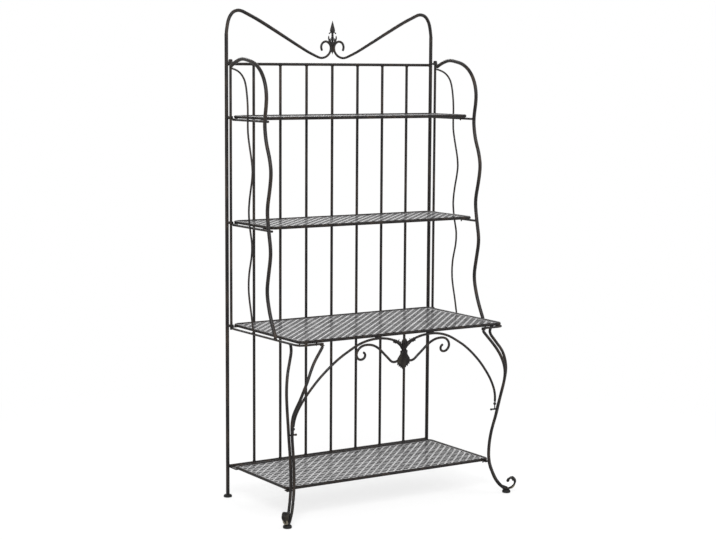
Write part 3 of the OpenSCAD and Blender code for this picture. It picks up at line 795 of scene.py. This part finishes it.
def cast_apron(finishes, grain):
    """The drapery and the leaves, which lean back from the middle shelf's rim."""
    rim_low, rim_high, _ = node_box("middle_shelf_rim")
    rim_r = (rim_high.z - rim_low.z) / 2
    below_rim = ORNAMENT_HEIGHT + RIM_GAP
    tip_z = node_box("apron_ornament")[0].z
    for shape, name, node_name, slope in (
            (ornament_shape(), "apron_drapery", "apron_ornament", ORNAMENT_SLOPE),
            (arch_leaf_shape(), "apron_leaves", "apron_collars", LEAF_SLOPE)):
        tip = Vector((0, rim_low.y + rim_r + RIM_GAP + slope * below_rim, tip_z))
        lean = Matrix.Rotation(math.atan(slope), 4, "X")
        piece = cast(shape, millimetres(tip, lean), name, finishes["casting"], "middle_shelf",
                     grain)
        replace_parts(piece, node_name)


def cast_feet(finishes, grain):
    """The leafy front feet with their gilding."""
    for side, s in SIDES:
        pad = node_box("foot_pad_" + side)[2]
        out = Vector((s, -1, 0)).normalized()
        across = Vector((s, 1, 0)).normalized()
        ankle = Vector((pad.x, pad.y, ANKLE_HEIGHT)) - out * PAD_REACH
        place = millimetres(ankle, Matrix((out, across, (0, 0, 1))).transposed().to_4x4())
        piece = cast(foot_shape(), place, "foot_leaf_" + side, finishes["foot"],
                     side + "_wing", grain)
        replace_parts(piece, "foot_scroll_" + side)
        cast(gilding_shape(), place, "foot_gilding_" + side, finishes["gilt"], side + "_wing",
             grain)


class PLANTSHELF_OT_castings(bpy.types.Operator):
    """Makes the finial, the apron's ornament and leaves, and the leafy front feet"""
    bl_idname = "plantshelf.castings"
    bl_label = "Make the castings"

    def execute(self, context):
        finishes = finish_materials(context.scene)
        grain = context.scene.shelf_casting.grain
        cast_finial(finishes, grain)
        cast_apron(finishes, grain)
        cast_feet(finishes, grain)
        return {"FINISHED"}


# Foot pads

# Radius and height of a pad's rings, as shares of its own
PAD_PROFILE = ((0.01, 0), (0.88, 0), (1.00, 0.06), (1.05, 0.20), (1.05, 0.44), (1.02, 0.62),
               (0.95, 0.75), (0.88, 0.84), (0.80, 0.92), (0.70, 0.99), (0.01, 1.0))
FRONT_PAD_RISE = 1.25      # the front pads reach up round the feet


def pad_size(name):
    """Radius and height of a front pad's node."""
    low, high, _ = node_box(name)
    return (high.x - low.x) / 2, high.z


def glide(shape, x, y, radius, height):
    """A pad with a rounded sole and a narrower neck under the bar."""
    shape.revolve([(radius * r, height * z) for r, z in PAD_PROFILE],
                  Matrix.Translation((x, y, 0)), 48)


def add_glides(name, shape, material, body):
    """The piece of one or two pads, with crisp edges."""
    piece = add_piece(name, shape.verts, shape.faces, material, body)
    piece.data.set_sharp_from_angle(angle=math.radians(35))
    return piece


class PLANTSHELF_OT_glides(bpy.types.Operator):
    """Makes the rounded black pads under the posts and the front feet"""
    bl_idname = "plantshelf.glides"
    bl_label = "Make the foot pads"

    def execute(self, context):
        rubber = finish_materials(context.scene)["rubber"]
        for side, _ in SIDES:
            pad = "foot_pad_" + side
            radius, height = pad_size(pad)
            middle = node_box(pad)[2]
            shape = Shape()
            glide(shape, middle.x, middle.y, radius, FRONT_PAD_RISE * height)
            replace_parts(add_glides("foot_glide_" + side, shape, rubber, side + "_wing"), pad)
        # The back pads are as wide as the front ones
        radius, height = pad_size("foot_pad_right")
        shape = Shape()
        for _, s in SIDES:
            glide(shape, s * POST_X, POST_Y, radius, height)
        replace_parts(add_glides("back_glides", shape, rubber, "back_frame"), "back_feet")
        return {"FINISHED"}


# Welds

BEAD_STEPS = 22      # sections round a bar
BEAD_SIDES = 8
WELD_GAP = 0.0002      # between a rail's surface and the middle of a bead
# Radius of the ground-off weld as a share of the post's, and height over the post's end
CREST_WELD = ((0.5, -0.006), (0.98, -0.005), (1.01, -0.001), (1.01, 0.0015), (0.96, 0.006),
              (0.5, 0.007))
# A wing's bars, whether the weld is at their top, and its half width
WING_WELDS = (("front_bar_", False, 0.0075), ("inner_bar_", False, 0.005),
              ("leg_rods_", True, 0.0075))
WING_WELD_RISE = 0.0032
ARCH_WELD = (0.011, 0.0042, 0.0026)


def weld_ring(shape, centre, axis, radius, bead, rng):
    """A lumpy bead round a bar."""
    turn = Vector((0, 0, 1)).rotation_difference(Vector(axis)).to_matrix()
    lumps = [rng.uniform(0.75, 1.25) for _ in range(BEAD_STEPS)]
    verts = []
    faces = []
    for k in range(BEAD_STEPS):
        a = 2 * math.pi * k / BEAD_STEPS
        size = bead * (lumps[k] + lumps[k - 1]) / 2
        here = k * BEAD_SIDES
        there = (k + 1) % BEAD_STEPS * BEAD_SIDES
        for j in range(BEAD_SIDES):
            b = 2 * math.pi * j / BEAD_SIDES
            out = radius - 0.2 * bead + size * math.cos(b)
            verts.append(Vector(centre) + turn @ Vector(
                (out * math.cos(a), out * math.sin(a), size * math.sin(b))))
            n = (j + 1) % BEAD_SIDES
            faces.append((here + j, there + j, there + n, here + n))
    shape.add(verts, faces)


def weld_blob(shape, centre, size, rng):
    """A lumpy drop of weld of the given half sizes."""
    count = 12
    rings = []
    for d in (-85, -55, -25, 5, 35, 60, 85):
        a = math.radians(d)
        lump = rng.uniform(0.9, 1.1)
        rings.append([Vector(centre) + Vector((size[0] * math.cos(a) * math.cos(b) * lump,
                                               size[1] * math.cos(a) * math.sin(b) * lump,
                                               size[2] * math.sin(a)))
                      for b in (2 * math.pi * j / count for j in range(count))])
    shape.loft(rings)


def bar_ends(name, highest):
    """Middles of the ends of a node's bars, at its top or its foot."""
    reach = 0.003
    apart = 0.012
    points = [v.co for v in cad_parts[name].data.vertices]
    level = max(p.z for p in points) if highest else min(p.z for p in points)
    ends = []
    for p in points:
        if abs(p.z - level) < reach:
            for group in ends:
                if (group[0] - p).length < apart:
                    group.append(p)
                    break
            else:
                ends.append([p])
    return [sum(group, Vector()) / len(group) for group in ends]


def weld_back(shape, bead, rng):
    """Beads where rods and posts meet the rails, and the welds between posts and crest."""
    top_low, top_high, top_mid = node_box("top_rail")
    _, bottom_high, bottom_mid = node_box("bottom_rail")
    rod_low, rod_high, _ = node_box("back_rods")
    rod_r = (rod_high.y - rod_low.y) / 2
    rods = [v.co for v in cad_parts["back_rods"].data.vertices]
    front = min(p.y for p in rods)
    for x in sorted({round(p.x, 3) for p in rods if abs(p.y - front) < 1e-4}):
        for z in (top_low.z - WELD_GAP, bottom_high.z + WELD_GAP):
            weld_ring(shape, (x, POST_Y, z), (0, 0, 1), rod_r, bead, rng)
    rail_r = (top_high.z - top_low.z) / 2
    for _, side in SIDES:
        for middle in (top_mid, bottom_mid):
            weld_ring(shape, (side * top_high.x, POST_Y, middle.z), (1, 0, 0), rail_r, bead, rng)
    post_low, post_high, _ = node_box("post_right")
    post_r = (post_high.x - post_low.x) / 2
    for _, side in SIDES:
        shape.revolve([(r * post_r, z) for r, z in CREST_WELD],
                      Matrix.Translation((side * POST_X, POST_Y, post_high.z)))


def weld_wing(shape, side, rng):
    """Drops at the ends of a wing's bars."""
    for bar, highest, radius in WING_WELDS:
        for end in bar_ends(bar + side, highest):
            weld_blob(shape, end, (radius, radius * 1.2, WING_WELD_RISE), rng)


def weld_apron(shape, rng):
    """Drops between the arches' peaks and the rim."""
    top = node_box("apron_arches")[1].z
    peaks = [v.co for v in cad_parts["apron_arches"].data.vertices if v.co.z > top - 0.0004]
    for _, side in SIDES:
        near = [p for p in peaks if p.x * side > 0]
        weld_blob(shape, sum(near, Vector()) / len(near), ARCH_WELD, rng)


class PLANTSHELF_OT_welds(bpy.types.Operator):
    """Adds the weld beads where bars meet"""
    bl_idname = "plantshelf.welds"
    bl_label = "Add the welds"

    def execute(self, context):
        s = context.scene.shelf_casting
        rng = random.Random(s.seed)
        bars = finish_materials(context.scene)["bars"]

        def add_welds(name, shape, body):
            add_piece(name, shape.verts, shape.faces, bars, body)

        shape = Shape()
        weld_back(shape, s.bead, rng)
        add_welds("frame_welds", shape, "back_frame")
        for side, _ in SIDES:
            shape = Shape()
            weld_wing(shape, side, rng)
            add_welds("wing_welds_" + side, shape, side + "_wing")
        shape = Shape()
        weld_apron(shape, rng)
        add_welds("apron_welds", shape, "middle_shelf")
        return {"FINISHED"}


# Stage

FLOOR_HALF = 14.0
FLOOR_DROP = 0.0005      # keeps the floor clear of the pads' soles
# Lamps: place, aim, size, and power as a share of the key light's
LAMPS = (
    ("key", (-2.6, -3.4, 3.6), (0, 0, 0.8), (2.4, 2.4), 1.0),
    ("fill", (3.6, -2.4, 2.2), (0, 0, 0.8), (2.6, 2.6), 0.35),
    ("rim", (0.8, 3.6, 3.2), (0, 0, 0.9), (3.0, 1.6), 0.35),
)


def stage_material(name, colour):
    """Matt floor that shows white to the camera and in gloss, and keeps a soft shadow."""
    m = bpy.data.materials.new(name)
    m.use_nodes = True
    tree = m.node_tree
    tree.nodes.remove(tree.nodes["Principled BSDF"])
    out = tree.nodes["Material Output"]
    matt = node(tree, "ShaderNodeBsdfDiffuse", "Matt floor", (-400, 100))
    matt.inputs["Color"].default_value = colour
    white = node(tree, "ShaderNodeEmission", "White to the camera", (-400, -100))
    rays = node(tree, "ShaderNodeLightPath", "Rays", (-900, -100))
    place = node(tree, "ShaderNodeTexCoord", "Place", (-1100, 200))
    far = node(tree, "ShaderNodeVectorMath", "Distance", (-900, 200), operation="LENGTH")
    tree.links.new(place.outputs["Object"], far.inputs[0])
    seen = maths(tree, "MAXIMUM", "Seen directly or in gloss", (-700, -100),
                 rays.outputs["Is Camera Ray"], rays.outputs["Is Glossy Ray"])
    paler = smooth_step(tree, "Whiter far away", (-700, 200), far.outputs["Value"],
                        0.5, 2.2, 0.72, 1.0)
    cover = maths(tree, "MULTIPLY", "Whiteness", (-550, 0), seen, paler)
    blend = node(tree, "ShaderNodeMixShader", "Floor", (-150, 0))
    tree.links.new(cover, blend.inputs["Fac"])
    tree.links.new(matt.outputs["BSDF"], blend.inputs[1])
    tree.links.new(white.outputs["Emission"], blend.inputs[2])
    tree.links.new(blend.outputs["Shader"], out.inputs["Surface"])
    return m


def make_world(strength):
    """Even white light that shows plain white to the camera and in gloss."""
    world = bpy.data.worlds.new("Studio")
    bpy.context.scene.world = world
    world.use_nodes = True
    tree = world.node_tree
    tree.nodes.clear()
    out = node(tree, "ShaderNodeOutputWorld", "World", (400, 0))
    rays = node(tree, "ShaderNodeLightPath", "Rays", (-500, 0))
    direct = maths(tree, "MAXIMUM", "Seen directly", (-400, 0), rays.outputs["Is Camera Ray"],
                   rays.outputs["Is Transmission Ray"])
    seen = maths(tree, "MAXIMUM", "Or in gloss", (-250, 0), direct,
                 rays.outputs["Is Glossy Ray"])
    blend = node(tree, "ShaderNodeMixShader", "Sky", (200, 0))
    tree.links.new(seen, blend.inputs["Fac"])
    for socket, label, height, power in ((1, "Even light", 100, strength),
                                         (2, "White to the camera", -100, 1.0)):
        light = node(tree, "ShaderNodeBackground", label, (-100, height))
        light.inputs["Color"].default_value = (1, 1, 1, 1)
        light.inputs["Strength"].default_value = power
        tree.links.new(light.outputs["Background"], blend.inputs[socket])
    tree.links.new(blend.outputs["Shader"], out.inputs["Surface"])


def add_lamp(name, place, aim, size, power):
    """A soft area lamp that looks at a point."""
    data = bpy.data.lights.new(name, "AREA")
    data.shape = "RECTANGLE"
    data.size, data.size_y = size
    data.energy = power
    lamp = bpy.data.objects.new(name, data)
    lamp.location = place
    lamp.rotation_euler = (Vector(aim) - Vector(place)).to_track_quat("-Z", "Y").to_euler()
    bpy.context.scene.collection.objects.link(lamp)


def add_camera(s):
    """The photograph's camera: a level turn, a dip and a small lean."""
    ahead = Vector((math.sin(s.camera_turn) * math.cos(s.camera_dip),
                    math.cos(s.camera_turn) * math.cos(s.camera_dip), -math.sin(s.camera_dip)))
    level = Vector((math.cos(s.camera_turn), -math.sin(s.camera_turn), 0))
    over = level.cross(ahead)
    right = level * math.cos(s.camera_roll) + over * math.sin(s.camera_roll)
    up = right.cross(ahead)
    data = bpy.data.cameras.new("Camera")
    data.sensor_fit = "HORIZONTAL"
    data.sensor_width = 36.0
    data.lens = s.focal_px / PHOTO_WIDTH * data.sensor_width
    data.clip_end = 100
    camera = bpy.data.objects.new("Camera", data)
    turn = Matrix((right, up, -ahead)).transposed().to_4x4()
    place = Vector(s.camera_place) + Vector((0, POST_Y, 0))
    camera.matrix_world = Matrix.Translation(place) @ turn
    bpy.context.scene.collection.objects.link(camera)
    bpy.context.scene.camera = camera


class PLANTSHELF_OT_stage(bpy.types.Operator):
    """Sets the camera, the pale floor and the soft studio light"""
    bl_idname = "plantshelf.stage"
    bl_label = "Set the stage"

    def execute(self, context):
        s = context.scene.shelf_stage
        context.scene.view_settings.view_transform = "Standard"
        add_camera(s)
        make_world(s.sky)
        corners = [(x * FLOOR_HALF, y * FLOOR_HALF, 0)
                   for x, y in ((-1, -1), (1, -1), (1, 1), (-1, 1))]
        mesh = bpy.data.meshes.new("floor")
        mesh.from_pydata(corners, [], [(0, 1, 2, 3)])
        mesh.materials.append(stage_material("floor", s.floor))
        floor = bpy.data.objects.new("floor", mesh)
        floor.location = (0, 0, -FLOOR_DROP)
        context.scene.collection.objects.link(floor)
        for name, place, aim, size, share in LAMPS:
            add_lamp(name, place, aim, size, s.key_power * share)
        return {"FINISHED"}


# Add-on

STEPS = ("paint_frame", "mesh_sheets", "castings", "glides", "welds", "stage")
SETTINGS = (("shelf_finish", FinishSettings), ("shelf_sheet", SheetSettings),
            ("shelf_casting", CastingSettings), ("shelf_stage", StageSettings))


class PLANTSHELF_PT_panel(bpy.types.Panel):
    """Lists the shelf's steps and settings"""
    bl_idname = "PLANTSHELF_PT_panel"
    bl_label = "Plant shelf"
    bl_space_type = "VIEW_3D"
    bl_region_type = "UI"
    bl_category = "Plant shelf"

    def draw(self, context):
        layout = self.layout
        for step_name in STEPS:
            layout.operator("plantshelf." + step_name)
        for settings_name, _ in SETTINGS:
            settings = getattr(context.scene, settings_name)
            column = layout.column(align=True)
            for name in settings.bl_rna.properties.keys():
                if name not in ("rna_type", "name"):
                    column.prop(settings, name)


CLASSES = (PLANTSHELF_OT_paint_frame, PLANTSHELF_OT_mesh_sheets, PLANTSHELF_OT_castings,
           PLANTSHELF_OT_glides, PLANTSHELF_OT_welds, PLANTSHELF_OT_stage, PLANTSHELF_PT_panel)


def register():
    for name, settings in SETTINGS:
        bpy.utils.register_class(settings)
        setattr(bpy.types.Scene, name, bpy.props.PointerProperty(type=settings))
    for cls in CLASSES:
        bpy.utils.register_class(cls)


def unregister():
    for cls in reversed(CLASSES):
        bpy.utils.unregister_class(cls)
    for name, settings in reversed(SETTINGS):
        delattr(bpy.types.Scene, name)
        bpy.utils.unregister_class(settings)


def main():
    """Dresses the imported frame."""
    register()
    for step_name in STEPS:
        getattr(bpy.ops.plantshelf, step_name)()


if __name__ == "__main__":
    main()
